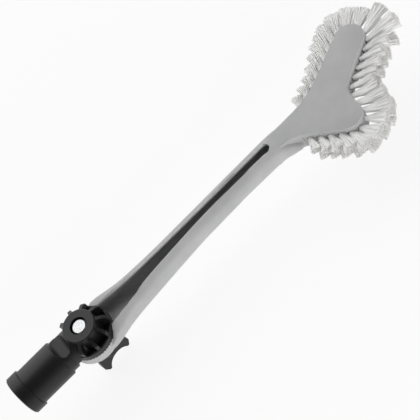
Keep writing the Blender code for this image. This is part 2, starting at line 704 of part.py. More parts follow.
# Pivot bolt
bolt_end = -BOLT_HEAD_HEIGHT - BOLT_LENGTH
shank_top = -BOLT_HEAD_HEIGHT + BURY
shank_profile = [(0, shank_top), (BOLT_RADIUS, shank_top)]
shank_profile += [(BOLT_RADIUS, bolt_end + BOLT_TIP_CHAMFER)]
shank_profile += [(BOLT_RADIUS - BOLT_TIP_CHAMFER, bolt_end), (0, bolt_end)]
bolt = make_object("pivot_bolt", turned(shank_profile, SIDES_SMALL), zinc_steel)
hex_profile = [(0, 0), (BOLT_HEAD_CORNER_RADIUS, 0)]
hex_profile += [(BOLT_HEAD_CORNER_RADIUS, -BOLT_HEAD_HEIGHT), (0, -BOLT_HEAD_HEIGHT)]
hexagon = make_object("bolt_hexagon", turned(hex_profile, 6))
dome_radius = BOLT_HEAD_CORNER_RADIUS + OVERRUN
dome_slope = BOLT_HEAD_CHAMFER / (BOLT_HEAD_CORNER_RADIUS - BOLT_HEAD_FACE_RADIUS)
dome_drop = (dome_radius - BOLT_HEAD_FACE_RADIUS) * dome_slope
dome_profile = [(0, 0), (BOLT_HEAD_FACE_RADIUS, 0), (dome_radius, -dome_drop)]
dome_profile += [(dome_radius, -BOLT_HEAD_HEIGHT - OVERRUN), (0, -BOLT_HEAD_HEIGHT - OVERRUN)]
add_tool(hexagon, make_object("bolt_chamfer", turned(dome_profile, SIDES_MEDIUM)), "INTERSECT")
join(bolt, hexagon)


# Washer, wing nut and insert, from the handle's rear boss downwards
def ring(name, hole, radius, low, high, mat, sides):
    profile = [(hole, high), (radius, high), (radius, low), (hole, low)]
    rings = []
    for i in range(sides):
        turn = 2 * pi * i / sides
        rings.append([(r * cos(turn), r * sin(turn), z) for r, z in profile])
    return make_object(name, skin(rings, close_rings=True), mat)


washer_top = HANDLE_REAR_Z - REAR_BOSS_HEIGHT - GAP
washer_low = washer_top - WASHER_THICKNESS
ring("washer", BOLT_RADIUS + GAP, WASHER_RADIUS, washer_low, washer_top,
     washer_steel, SIDES_MEDIUM)

nut_top = washer_low - GAP
valley_z = nut_top - NUT_LENGTH
nut_hub_profile = [(0, nut_top), (NUT_HUB_RADIUS, nut_top)]
nut_hub_profile += [(NUT_HUB_RADIUS, nut_top - NUT_HUB_LENGTH)]
nut_hub_profile += [(0, nut_top - NUT_HUB_LENGTH)]
wing_nut = make_object("wing_nut", turned(nut_hub_profile, SIDES_MEDIUM), knob_plastic)

tip_x = WING_TIP_REACH - WING_TIP_RADIUS
tip_z = nut_top - WING_TIP_DEPTH + WING_TIP_RADIUS
side_x = WING_REACH - WING_SIDE_RADIUS
side_z = nut_top - WING_SIDE_DEPTH
shoulder_x = WING_SHOULDER_REACH - WING_SHOULDER_RADIUS
shoulder_z = nut_top - WING_SHOULDER_DEPTH
root_x = WING_ROOT_REACH - WING_ROOT_RADIUS
root_z = nut_top - WING_ROOT_DEPTH - WING_ROOT_RADIUS
tip_fall = valley_z - tip_z
touching = tip_x ** 2 + tip_fall ** 2 - WING_TIP_RADIUS ** 2
valley_radius = VALLEY_SHARE * touching / (2 * (tip_fall + WING_TIP_RADIUS))
wing_circles = (
    (0.0, root_z + WING_ROOT_RADIUS, 0.0),
    (-root_x, root_z, WING_ROOT_RADIUS),
    (-shoulder_x, shoulder_z, WING_SHOULDER_RADIUS),
    (-side_x, side_z, WING_SIDE_RADIUS),
    (-tip_x, tip_z, WING_TIP_RADIUS),
    (0.0, valley_z - valley_radius, -valley_radius),
    (tip_x, tip_z, WING_TIP_RADIUS),
    (side_x, side_z, WING_SIDE_RADIUS),
    (shoulder_x, shoulder_z, WING_SHOULDER_RADIUS),
    (root_x, root_z, WING_ROOT_RADIUS),
    (0.0, root_z + WING_ROOT_RADIUS, 0.0),
)
wing_outline = belt(wing_circles)[1:]
wing_rings = []
for sign in (-1, 1):
    wing_ring = []
    for across, z in wing_outline:
        x = across * cos(NUT_TILT) - sign * WING_THICKNESS / 2 * sin(NUT_TILT)
        y = across * sin(NUT_TILT) + sign * WING_THICKNESS / 2 * cos(NUT_TILT)
        wing_ring.append((x, y, z))
    wing_rings.append(wing_ring)
join(wing_nut, make_object("wings", skin(wing_rings)))

insert_low = nut_top - INSERT_LENGTH
nut_bore_profile = [(0, nut_top + OVERRUN), (INSERT_RADIUS + GAP, nut_top + OVERRUN)]
nut_bore_profile += [(INSERT_RADIUS + GAP, insert_low - GAP)]
nut_bore_profile += [(BOLT_RADIUS + GAP, insert_low - GAP)]
nut_bore_profile += [(BOLT_RADIUS + GAP, bolt_end - GAP), (0, bolt_end - GAP)]
cut(wing_nut, make_object("nut_bore", turned(nut_bore_profile, SIDES_SMALL)))
ring("nut_insert", BOLT_RADIUS + THREAD_ALLOWANCE, INSERT_RADIUS, insert_low,
     nut_top - GAP, brass, SIDES_SMALL)
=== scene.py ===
"""Moulding brush with a swivelling pole socket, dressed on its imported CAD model.

Sections follow the brush as it is put together: camera, handle and head, drilled edge,
tufts, pole socket, bolt, washer and wing nut, then the table and lamps. Metres.
"""

from math import acos, atan2, ceil, cos, hypot, pi, radians, sin, sqrt

import bmesh
import bpy
from mathutils import Matrix, Vector


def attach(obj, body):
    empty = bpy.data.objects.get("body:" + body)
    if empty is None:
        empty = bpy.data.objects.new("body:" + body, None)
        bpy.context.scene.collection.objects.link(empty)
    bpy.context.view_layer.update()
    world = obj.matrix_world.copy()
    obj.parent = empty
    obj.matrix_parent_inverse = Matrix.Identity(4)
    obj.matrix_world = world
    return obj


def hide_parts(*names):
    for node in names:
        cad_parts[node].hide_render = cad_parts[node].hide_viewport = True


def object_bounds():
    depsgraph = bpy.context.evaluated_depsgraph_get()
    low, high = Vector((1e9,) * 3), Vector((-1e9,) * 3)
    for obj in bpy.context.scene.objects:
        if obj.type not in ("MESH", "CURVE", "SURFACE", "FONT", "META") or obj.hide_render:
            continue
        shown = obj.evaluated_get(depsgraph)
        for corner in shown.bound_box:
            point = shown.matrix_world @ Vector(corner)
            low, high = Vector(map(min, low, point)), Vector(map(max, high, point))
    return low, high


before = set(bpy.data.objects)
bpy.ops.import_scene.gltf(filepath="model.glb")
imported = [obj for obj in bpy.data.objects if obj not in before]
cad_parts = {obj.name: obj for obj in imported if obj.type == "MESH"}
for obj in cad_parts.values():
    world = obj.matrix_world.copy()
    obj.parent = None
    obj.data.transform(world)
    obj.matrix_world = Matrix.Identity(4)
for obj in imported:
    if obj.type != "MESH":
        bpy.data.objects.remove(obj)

scene = bpy.context.scene
cad_low, cad_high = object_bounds()


# Camera
# The brush was taken from above and a little to its side, with a long lens from about
# a metre away. The place, turn and lens come from fitting the brush's outline.
camera = bpy.data.objects.new("camera", bpy.data.cameras.new("camera"))
scene.collection.objects.link(camera)
camera.location = (0.12657688, -0.63809305, 0.87553605)
camera.rotation_euler = (radians(27.30859756), radians(23.93164411), radians(-38.95051235))
camera.data.lens = 120
camera.data.sensor_width = 36
camera.data.clip_end = 20
scene.camera = camera


# Handle and head
# One moulding in light grey polypropylene: a slotted, hollow handle that swells into a
# two-lobed head. Satin, a little uneven where it cooled, its edges rounded in the mould.
TEETH_Z = -0.0176          # plane of the face teeth between handle and socket
GREY_PLASTIC = (0.385, 0.385, 0.390, 1.0)
# Pale colour of rubbed edges, also used for the painted highlight along the slot's rim
GREY_PLASTIC_WORN_AND_HIGHLIT = (0.56, 0.56, 0.565, 1.0)
NOISE_SPAN = (0.3, 0.7)    # most of the values of a noise
CLOUDING = 0.06            # share by which the colour clouds up and down
GLOSS_SPREAD = 0.06        # the same for the roughness
RUB_SPAN = (0.99, 0.85)    # turn of the skin at an edge, as a cosine, where rubbing starts
                           # and where it is full
RUB_MOST = 0.7             # share of the worn colour there
CREASE = radians(33)       # edges that turn further stay sharp
WELD = 0.000003            # points nearer than this are one
FLAT_TURN = radians(0.5)   # facets that turn less are one
RIM_STEPS = 3


def new_nodes(name):
    """A new material, its node tree and shader, and a helper that adds a node to it."""
    material = bpy.data.materials.new(name)
    material.use_nodes = True
    tree = material.node_tree
    shader = tree.nodes["Principled BSDF"]

    def node(kind, **settings):
        made = tree.nodes.new(kind)
        for key, value in settings.items():
            if key in made.inputs:
                made.inputs[key].default_value = value
            else:
                setattr(made, key, value)
        return made

    return material, tree, shader, node


def remapped(tree, value, span, result):
    """Carry a value from one span to another, held at its ends."""
    new = tree.nodes.new("ShaderNodeMapRange")
    for name, number in zip(("From Min", "From Max", "To Min", "To Max"), span + result):
        new.inputs[name].default_value = number
    tree.links.new(value, new.inputs["Value"])
    return new.outputs["Result"]


MIX_A, MIX_B, MIX_RESULT = 6, 7, 2   # a Mix node's sockets for colours


def toned(tree, colour, tone):
    """A colour, plain or from another node, times a tone."""
    new = tree.nodes.new("ShaderNodeMix")
    new.data_type = "RGBA"
    new.blend_type = "MULTIPLY"
    new.inputs["Factor"].default_value = 1.0
    if isinstance(colour, bpy.types.NodeSocket):
        tree.links.new(colour, new.inputs[MIX_A])
    else:
        new.inputs[MIX_A].default_value = colour
    tree.links.new(tone, new.inputs[MIX_B])
    return new.outputs[MIX_RESULT]


def moulded_plastic(name, colour, worn_and_highlit_colour, roughness, shine, grain, relief, cloud, edge):
    """Moulded plastic: clouded colour, a fine grain in the gloss and the surface, and edges
    that have rubbed a little paler. Faces marked as a rim take the same pale colour as a
    painted highlight."""
    material, tree, shader, node = new_nodes(name)
    link = tree.links.new
    place = node("ShaderNodeTexCoord")
    clouds = node("ShaderNodeTexNoise", Scale=cloud, Detail=3.0, Roughness=0.55)
    grains = node("ShaderNodeTexNoise", Scale=grain, Detail=2.0, Roughness=0.6)
    waves = node("ShaderNodeTexNoise", Scale=cloud * 3.0, Detail=1.0)
    for texture in (clouds, grains, waves):
        link(place.outputs["Object"], texture.inputs["Vector"])

    tone = remapped(tree, clouds.outputs["Fac"], NOISE_SPAN, (1 - CLOUDING, 1 + CLOUDING))
    clouded = toned(tree, colour, tone)

    rounded = node("ShaderNodeBevel", samples=4)
    rounded.inputs["Radius"].default_value = edge
    flat = node("ShaderNodeNewGeometry")
    meet = node("ShaderNodeVectorMath", operation="DOT_PRODUCT")
    link(rounded.outputs["Normal"], meet.inputs[0])
    link(flat.outputs["Normal"], meet.inputs[1])
    rub = remapped(tree, meet.outputs["Value"], RUB_SPAN, (0.0, RUB_MOST))
    # Faces marked as the slot's rim take the pale colour too: a painted highlight
    painted_highlight_rim = node("ShaderNodeAttribute", attribute_name="painted_highlight_rim")
    wear_and_highlight_share = node("ShaderNodeMath", operation="MAXIMUM")
    link(rub, wear_and_highlight_share.inputs[0])
    link(painted_highlight_rim.outputs["Fac"], wear_and_highlight_share.inputs[1])
    wear_and_highlight = node("ShaderNodeMix", data_type="RGBA")
    link(wear_and_highlight_share.outputs[0], wear_and_highlight.inputs["Factor"])
    link(clouded, wear_and_highlight.inputs[MIX_A])
    wear_and_highlight.inputs[MIX_B].default_value = worn_and_highlit_colour
    link(wear_and_highlight.outputs[MIX_RESULT], shader.inputs["Base Color"])

    gloss = remapped(tree, grains.outputs["Fac"], NOISE_SPAN,
                     (roughness - GLOSS_SPREAD, roughness + GLOSS_SPREAD))
    link(gloss, shader.inputs["Roughness"])
    shader.inputs["Specular IOR Level"].default_value = shine

    swell = node("ShaderNodeBump", Strength=0.35, Distance=relief * 6)
    link(waves.outputs["Fac"], swell.inputs["Height"])
    link(rounded.outputs["Normal"], swell.inputs["Normal"])
    pits = node("ShaderNodeBump", Strength=0.5, Distance=relief)
    link(grains.outputs["Fac"], pits.inputs["Height"])
    link(swell.outputs["Normal"], pits.inputs["Normal"])
    link(pits.outputs["Normal"], shader.inputs["Normal"])
    return material


def skin_of(node_name, name, painted_highlight_rim=None):
    """Copy a CAD node, merge its loose triangles into one skin and smooth it. The edges that
    a rim of (width, test) picks are rounded, and their faces are marked for a painted
    highlight."""
    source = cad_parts[node_name].data
    mesh = bpy.data.meshes.new(name)
    mesh.from_pydata([v.co[:] for v in source.vertices], [],
                     [p.vertices[:] for p in source.polygons])
    bm = bmesh.new()
    bm.from_mesh(mesh)
    bmesh.ops.remove_doubles(bm, verts=bm.verts, dist=WELD)
    bmesh.ops.dissolve_degenerate(bm, edges=bm.edges, dist=WELD)
    bmesh.ops.dissolve_limit(bm, angle_limit=FLAT_TURN, verts=bm.verts, edges=bm.edges)
    if painted_highlight_rim:
        width, is_rim = painted_highlight_rim
        # The rounded rim's faces are marked, and the material paints them pale as a painted
        # highlight
        wear_and_highlight = bm.faces.layers.float.new("painted_highlight_rim")
        edges = [edge for edge in bm.edges if edge.is_manifold and is_rim(edge)]
        short = [edge for edge in edges if edge.calc_length() < width]
        bmesh.ops.collapse(bm, edges=short)
        bm.normal_update()
        edges = [edge for edge in bm.edges if edge.is_manifold and is_rim(edge)]
        rounded = bmesh.ops.bevel(bm, geom=edges, offset=width, offset_type="OFFSET",
                                  segments=RIM_STEPS, profile=0.5, affect="EDGES",
                                  clamp_overlap=False)
        for face in rounded["faces"]:
            face[wear_and_highlight] = 1.0
    bm.to_mesh(mesh)
    bm.free()
    mesh.shade_smooth()
    mesh.set_sharp_from_angle(angle=CREASE)
    piece = bpy.data.objects.new(name, mesh)
    scene.collection.objects.link(piece)
    return piece


def plain(piece):
    """Turn a piece with live modifiers into one plain mesh."""
    depsgraph = bpy.context.evaluated_depsgraph_get()
    depsgraph.update()
    mesh = bpy.data.meshes.new_from_object(piece.evaluated_get(depsgraph),
                                           preserve_all_data_layers=True,
                                           depsgraph=depsgraph)
    piece.modifiers.clear()
    piece.data = mesh


grey_plastic = moulded_plastic("grey_plastic", GREY_PLASTIC, GREY_PLASTIC_WORN_AND_HIGHLIT,
                               roughness=0.42, shine=0.50, grain=2600.0, relief=0.00003,
                               cloud=55.0, edge=0.0006)
SLOT_RUN = (0.030, 0.200)    # stretch of the handle whose slot has a rounded rim
SLOT_HALF_WIDTH = 0.0118
SLOT_RIM = 0.0006
FRONT_LEAST_UP = 0.55        # a face of the front looks up at least so far
WALL_MOST_UP = 0.35          # and one of the slot's wall up or down at most so far


def is_slot_rim(edge):
    """Whether an edge runs along the slot, between its wall and the handle's front."""
    middle = (edge.verts[0].co + edge.verts[1].co) / 2
    if not SLOT_RUN[0] < middle.x < SLOT_RUN[1] or abs(middle.y) > SLOT_HALF_WIDTH:
        return False
    wall, front = sorted((face.normal for face in edge.link_faces), key=lambda n: n.z)
    upright = front.z > FRONT_LEAST_UP and abs(wall.z) < WALL_MOST_UP
    return upright and wall.y * middle.y < 0


# The slot's rim is rounded and gets a painted highlight in the pale worn colour
handle_head = skin_of("handle_head", "handle_and_head", painted_highlight_rim=(SLOT_RIM, is_slot_rim))
handle_head.data.materials.append(grey_plastic)
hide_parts("handle_head")
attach(handle_head, "brush")


# Drilled edge of the head
# The moulding's edge wall, flush between its two lips, with two staggered rows of drilled
# holes. Each tuft is stapled into one; the holes look dark round the tufts' feet.
HANDLE_LENGTH = 0.2100
HEAD_RISE = 0.0100         # of the head's front over the teeth
HEAD_TOP_Z = TEETH_Z + HEAD_RISE
HEAD_THICKNESS = 0.0185
NECK_LENGTH = 0.0110
NECK_X = HANDLE_LENGTH - NECK_LENGTH
NECK_HALF_WIDTH = 0.0080
SHORT_LOBE = (HANDLE_LENGTH + 0.0513, -0.0302, 0.0126)   # x, y and radius
LONG_LOBE = (HANDLE_LENGTH + 0.0990, 0.0213, 0.0127)
NOTCH_RADIUS = 0.0178
NOTCH_GAP = 0.0017         # between the circles of the notch and the short lobe
NOTCH_REACH = SHORT_LOBE[2] + NOTCH_GAP + NOTCH_RADIUS
NOTCH_BEARING = radians(14)
RIGHT_BLEND = (0.0300, 0.0330)   # radius, then the straight edge to the short lobe
LEFT_BLEND = (0.0700, 0.0425)    # the same to the long lobe
ARC_STEP = radians(11)
UPPER_LIP = 0.0034
LOWER_LIP = 0.0022
LIP_GAP = 0.00008
WALL_TOP_Z = HEAD_TOP_Z - UPPER_LIP - LIP_GAP
WALL_LOW_Z = HEAD_TOP_Z - HEAD_THICKNESS + LOWER_LIP + LIP_GAP
WALL_INSET = 0.00015       # face of the wall inside the lips
WALL_DEPTH = 0.0057
WALL_OVERHANG = 0.0001     # past the tufted run, at either end
TUFTED_FROM = 0.0284       # along the edge from its right root
TUFTED_TO_END = 0.0400     # and before its left root
HOLE_RADIUS = 0.0021
HOLE_DEPTH = 0.0045
HOLE_SIDES = 14
DRILL_LENGTH = 0.0060
LEAST_SLANT = 0.35         # cosine to the wall at which the drill still comes out


def blend_circle(side, blend, lobe):
    """Circle of the hollow edge between the neck and a lobe."""
    radius, straight = blend
    y = side * (NECK_HALF_WIDTH + radius)
    reach = sqrt((radius + lobe[2]) ** 2 + straight ** 2 - (y - lobe[1]) ** 2)
    return lobe[0] - reach, y, -radius


def belt(circles):
    """Line of a belt round circles of (x, y, radius); a negative radius turns it back."""
    touches = []
    for (x1, y1, r1), (x2, y2, r2) in zip(circles, circles[1:]):
        along = atan2(y2 - y1, x2 - x1)
        touches.append(along - acos((r1 - r2) / hypot(x2 - x1, y2 - y1)))
    points = [Vector(circles[0][:2])]
    for i in range(1, len(circles) - 1):
        x, y, radius = circles[i]
        turn = (touches[i] - touches[i - 1] + pi) % (2 * pi) - pi
        if radius > 0 and turn < 0:
            turn += 2 * pi
        steps = max(1, ceil(abs(turn) / ARC_STEP))
        for k in range(steps + 1):
            angle = touches[i - 1] + turn * k / steps
            points.append(Vector((x + radius * cos(angle), y + radius * sin(angle))))
    return points + [Vector(circles[-1][:2])]


notch = (SHORT_LOBE[0] + NOTCH_REACH * cos(NOTCH_BEARING),
         SHORT_LOBE[1] + NOTCH_REACH * sin(NOTCH_BEARING), -NOTCH_RADIUS)
head_edge = belt((
    (NECK_X, -NECK_HALF_WIDTH, 0.0),
    blend_circle(-1, RIGHT_BLEND, SHORT_LOBE),
    SHORT_LOBE, notch, LONG_LOBE,
    blend_circle(1, LEFT_BLEND, LONG_LOBE),
    (NECK_X, NECK_HALF_WIDTH, 0.0),
))
edge_marks = [0.0]
for here, there in zip(head_edge, head_edge[1:]):
    edge_marks.append(edge_marks[-1] + (there - here).length)
tufted_run = edge_marks[-1] - TUFTED_FROM - TUFTED_TO_END


def edge_point(travel):
    """Point of the head's edge at a distance along it."""
    for i in range(len(head_edge) - 1):
        if travel <= edge_marks[i + 1] or i == len(head_edge) - 2:
            share = (travel - edge_marks[i]) / (edge_marks[i + 1] - edge_marks[i])
            return head_edge[i].lerp(head_edge[i + 1], share)


def edge_way(travel, reach=0.0008):
    """The way out of the head's edge."""
    way = (edge_point(travel + reach) - edge_point(travel - reach)).normalized()
    return Vector((way.y, -way.x))


def object_of(bm, name):
    """A new object from a finished bmesh, facing out."""
    bmesh.ops.recalc_face_normals(bm, faces=bm.faces)
    mesh = bpy.data.meshes.new(name)
    bm.to_mesh(mesh)
    bm.free()
    mesh.shade_smooth()
    mesh.set_sharp_from_angle(angle=CREASE)
    piece = bpy.data.objects.new(name, mesh)
    scene.collection.objects.link(piece)
    return piece


ROW_Z = (TEETH_Z + 0.0021, TEETH_Z - 0.0042)   # front row, then rear row
ROW_TILT = (radians(6), radians(-13))
TUFTS_IN_ROW = 28
WALL_STEPS = 4 * TUFTS_IN_ROW

bm = bmesh.new()
rings = []
for i in range(WALL_STEPS + 1):
    share = i / WALL_STEPS
    travel = TUFTED_FROM - WALL_OVERHANG + (tufted_run + 2 * WALL_OVERHANG) * share
    point, out = edge_point(travel), edge_way(travel)
    far, near = point - out * WALL_INSET, point - out * WALL_DEPTH
    rings.append([bm.verts.new((*p, z)) for p, z in (
        (near, WALL_LOW_Z), (far, WALL_LOW_Z), (far, WALL_TOP_Z), (near, WALL_TOP_Z))])
for one, two in zip(rings, rings[1:]):
    for j in range(4):
        k = (j + 1) % 4
        bm.faces.new((one[j], one[k], two[k], two[j]))
bm.faces.new(rings[0])
bm.faces.new(rings[-1])
edge_wall = object_of(bm, "drilled_edge_wall")

# Each tuft: its foot on the wall, the way it points, its length, and the way out there
# Lay: place along the tufted edge, heading in degrees from X, length in millimetres
TUFT_LAY = (
    (0.000, -106, 14.6), (0.050, -104, 16.2), (0.090, -103, 17.0), (0.130, -97, 18.4),
    (0.160, -86, 20.8), (0.200, -66, 20.0), (0.225, -52, 20.5), (0.250, -43, 23.5),
    (0.275, -35, 26.5), (0.300, -27, 28.4), (0.335, -25, 26.5), (0.360, -27, 24.0),
    (0.400, -35, 22.4), (0.480, -31, 22.4), (0.520, -28, 22.7), (0.550, -14, 31.0),
    (0.570, 0, 33.5), (0.590, 11, 27.0), (0.620, 27, 18.6), (0.650, 43, 20.0),
    (0.680, 60, 22.4), (0.710, 72, 24.0), (0.740, 79, 25.1), (0.800, 76, 25.1),
    (0.860, 74, 20.5), (0.920, 72, 16.2), (1.000, 72, 11.9),
)
MILLIMETRE = 0.001
CAD_SETBACK = 0.0004       # feet of the solid strands inside the edge


def lay_at(share, column):
    """Read the lay of the tufts at a share of the edge, eased between its rows."""
    def straight(place):
        if place <= TUFT_LAY[0][0]:
            return TUFT_LAY[0][column]
        for low, high in zip(TUFT_LAY, TUFT_LAY[1:]):
            if place <= high[0]:
                part = (place - low[0]) / (high[0] - low[0])
                return low[column] + part * (high[column] - low[column])
        return TUFT_LAY[-1][column]
    step = 1 / (4 * len(TUFT_LAY))
    return (straight(share - step) + 2 * straight(share) + straight(share + step)) / 4


tufts = []
for row in (0, 1):
    count = TUFTS_IN_ROW - row
    for c in range(count):
        share = (c + 0.5 + 0.5 * row) / TUFTS_IN_ROW
        travel = TUFTED_FROM + share * tufted_run
        heading, tilt = radians(lay_at(share, 1)), ROW_TILT[row]
        aim = Vector((cos(heading) * cos(tilt), sin(heading) * cos(tilt), sin(tilt)))
        out = edge_way(travel)
        foot = edge_point(travel) - out * CAD_SETBACK
        tufts.append((Vector((*foot, ROW_Z[row])), aim, lay_at(share, 2) * MILLIMETRE,
                      Vector((*out, 0.0))))

# The drill goes in along each tuft
bm = bmesh.new()
for foot, aim, length, out in tufts:
    turn = aim.to_track_quat("Z", "Y").to_matrix().to_4x4()
    to_wall = CAD_SETBACK / max(LEAST_SLANT, aim.dot(out))
    middle = foot + aim * (to_wall + DRILL_LENGTH / 2 - HOLE_DEPTH)
    bmesh.ops.create_cone(bm, cap_ends=True, segments=HOLE_SIDES, radius1=HOLE_RADIUS,
                          radius2=HOLE_RADIUS, depth=DRILL_LENGTH,
                          matrix=Matrix.Translation(middle) @ turn)
drill = object_of(bm, "drill")
drilled = edge_wall.modifiers.new("holes", "BOOLEAN")
drilled.object = drill
drilled.operation = "DIFFERENCE"
drilled.solver = "EXACT"
drilled.use_self = True
edge_wall.data.materials.append(grey_plastic)
plain(edge_wall)
bpy.data.objects.remove(drill, do_unlink=True)
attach(edge_wall, "brush")


# Tufts
# Fine white nylon filaments, folded over a staple and driven into each hole, so that a
# tuft leaves its hole tight and round and opens into a fan. The ends are trimmed square.
FILAMENTS = 84             # in each tuft
FILAMENT_RADIUS = 0.00033
FOOT_RADIUS = 0.0018
TIP_HALF_HEIGHT = 0.0034
TIP_HALF_WIDTHS = (0.0036, 0.0076)   # narrowest and widest fan, along the head's edge
FAN_OVERLAP = 1.12         # a fan's half width, over half the way to the next one
FILAMENT_BENDS = 4
FILAMENT_SIDES = 4
GOLDEN_ANGLE = 2.39996     # turn from one foot to the next, which spreads them evenly
OPENING_POWER = 1.25       # a tuft opens faster towards its end
STRAY_REACH = 0.18         # of a filament from its place, over the tip's half height
WILD_REACH = 0.55          # and so much more where it is wild
WILD_POWER = 24.0          # which few filaments are
SWING_STEP = 12.9898       # from tuft to tuft, through a sine that sets what differs
SWING_TURN = 3.0
SWING_BOW = 0.10
LENGTH_SPREAD = 0.05       # share by which tufts are shorter than their lay, at most
END_ROUNDING = 0.07        # share by which a tuft's outer filaments are shorter
END_RAGGEDNESS = 0.06      # most that a filament is cut short, as a share


def tuft_tree():
    """Grow a tuft of filaments on each point of the mesh of feet."""
    tree = bpy.data.node_groups.new("tufts", "GeometryNodeTree")
    face = tree.interface
    face.new_socket("Geometry", in_out="INPUT", socket_type="NodeSocketGeometry")
    for name, kind in (("Filaments", "NodeSocketInt"), ("Filament radius", "NodeSocketFloat"),
                       ("Foot radius", "NodeSocketFloat"),
                       ("Tip half height", "NodeSocketFloat"),
                       ("Bends", "NodeSocketInt"), ("Seed", "NodeSocketInt"),
                       ("Material", "NodeSocketMaterial")):
        face.new_socket(name, in_out="INPUT", socket_type=kind)
    face.new_socket("Geometry", in_out="OUTPUT", socket_type="NodeSocketGeometry")
    link = tree.links.new
    given = tree.nodes.new("NodeGroupInput")
    made = tree.nodes.new("NodeGroupOutput")

    def node(kind, *wires, **settings):
        new = tree.nodes.new(kind)
        for key, value in settings.items():
            setattr(new, key, value)
        for socket, value in wires:
            if isinstance(value, bpy.types.NodeSocket):
                link(value, new.inputs[socket])
            else:
                new.inputs[socket].default_value = value
        return new

    def maths(operation, *values):
        return node("ShaderNodeMath", *enumerate(values), operation=operation).outputs[0]

    def vectors(operation, *values):
        new = node("ShaderNodeVectorMath", *enumerate(values), operation=operation)
        return new.outputs["Vector"]

    def scaled(vector, amount):
        new = node("ShaderNodeVectorMath", (0, vector), ("Scale", amount), operation="SCALE")
        return new.outputs["Vector"]

    def stored(name, kind="FLOAT_VECTOR"):
        new = node("GeometryNodeInputNamedAttribute", ("Name", name), data_type=kind)
        return new.outputs["Attribute"]

    def chance(low, high, salt):
        new = node("FunctionNodeRandomValue", data_type="FLOAT")
        ends = [s for s in new.inputs if s.enabled and s.name in ("Min", "Max")]
        ends[0].default_value, ends[1].default_value = low, high
        seed = maths("ADD", given.outputs["Seed"], salt)
        link(seed, new.inputs["Seed"])
        return next(s for s in new.outputs if s.enabled)

    # Spread the filaments' feet evenly over each hole, as seeds in a sunflower
    feet = node("GeometryNodeMeshToPoints", ("Mesh", given.outputs["Geometry"]))
    grown = node("GeometryNodeDuplicateElements", ("Geometry", feet.outputs[0]),
                 ("Amount", given.outputs["Filaments"]), domain="POINT")
    rank = grown.outputs["Duplicate Index"]
    spread = maths("SQRT", maths("DIVIDE", maths("ADD", rank, 0.5),
                                 given.outputs["Filaments"]))
    turn = maths("ADD", maths("MULTIPLY", rank, GOLDEN_ANGLE), stored("turn", "FLOAT"))
    across = maths("MULTIPLY", spread, maths("COSINE", turn))
    up = maths("MULTIPLY", spread, maths("SINE", turn))
    kept = grown.outputs["Geometry"]
    for name, value, kind in (("foot", node("GeometryNodeInputPosition").outputs[0],
                               "FLOAT_VECTOR"),
                              ("across", across, "FLOAT"), ("up", up, "FLOAT")):
        kept = node("GeometryNodeStoreNamedAttribute", ("Geometry", kept), ("Name", name),
                    ("Value", value), data_type=kind, domain="POINT").outputs[0]
    for name, low, high, salt in (("stray_a", -1.0, 1.0, 11), ("stray_b", -1.0, 1.0, 12),
                                  ("cut", 0.0, 1.0, 13), ("shade", 0.0, 1.0, 14),
                                  ("wild", 0.0, 1.0, 15)):
        kept = node("GeometryNodeStoreNamedAttribute", ("Geometry", kept), ("Name", name),
                    ("Value", chance(low, high, salt)), data_type="FLOAT",
                    domain="POINT").outputs[0]

    # One line for each, opened and bent along its length
    line = node("GeometryNodeCurvePrimitiveLine")
    line = node("GeometryNodeResampleCurve", ("Curve", line.outputs[0]),
                ("Count", maths("ADD", given.outputs["Bends"], 1.0)))
    placed = node("GeometryNodeInstanceOnPoints", ("Points", kept),
                  ("Instance", line.outputs[0]))
    loose = node("GeometryNodeRealizeInstances", ("Geometry", placed.outputs[0]))
    along = node("GeometryNodeSplineParameter").outputs["Factor"]
    opening = maths("POWER", along, OPENING_POWER)

    def opened(tip):
        foot = given.outputs["Foot radius"]
        return maths("ADD", foot, maths("MULTIPLY", opening, maths("SUBTRACT", tip, foot)))

    # A few filaments in each tuft stand well away from the rest
    wild = maths("POWER", stored("wild", "FLOAT"), WILD_POWER)
    unruly = maths("ADD", STRAY_REACH, maths("MULTIPLY", wild, WILD_REACH))
    stray = maths("MULTIPLY", maths("MULTIPLY", along, along),
                  maths("MULTIPLY", given.outputs["Tip half height"], unruly))
    side_reach = maths("ADD", maths("MULTIPLY", opened(stored("fan", "FLOAT")),
                                    stored("across", "FLOAT")),
                       maths("MULTIPLY", stray, stored("stray_a", "FLOAT")))
    rise_reach = maths("ADD", maths("MULTIPLY", opened(given.outputs["Tip half height"]),
                                    stored("up", "FLOAT")),
                       maths("MULTIPLY", stray, stored("stray_b", "FLOAT")))
    out_in_tuft = maths("ADD", maths("POWER", stored("across", "FLOAT"), 2.0),
                        maths("POWER", stored("up", "FLOAT"), 2.0))
    short = maths("ADD", maths("MULTIPLY", out_in_tuft, END_ROUNDING),
                  maths("MULTIPLY", maths("POWER", stored("cut", "FLOAT"), 2.0),
                        END_RAGGEDNESS))
    trimmed = maths("SUBTRACT", 1.0, short)
    reach = maths("MULTIPLY", maths("MULTIPLY", along, trimmed), stored("length", "FLOAT"))
    bow = maths("MULTIPLY", maths("MULTIPLY", along, maths("SUBTRACT", 1.0, along)),
                maths("MULTIPLY", stored("bow", "FLOAT"), stored("length", "FLOAT")))
    place = vectors("ADD", stored("foot"), scaled(stored("aim"), reach))
    place = vectors("ADD", place, scaled(stored("side"), maths("ADD", side_reach, bow)))
    place = vectors("ADD", place, scaled(stored("rise"), rise_reach))

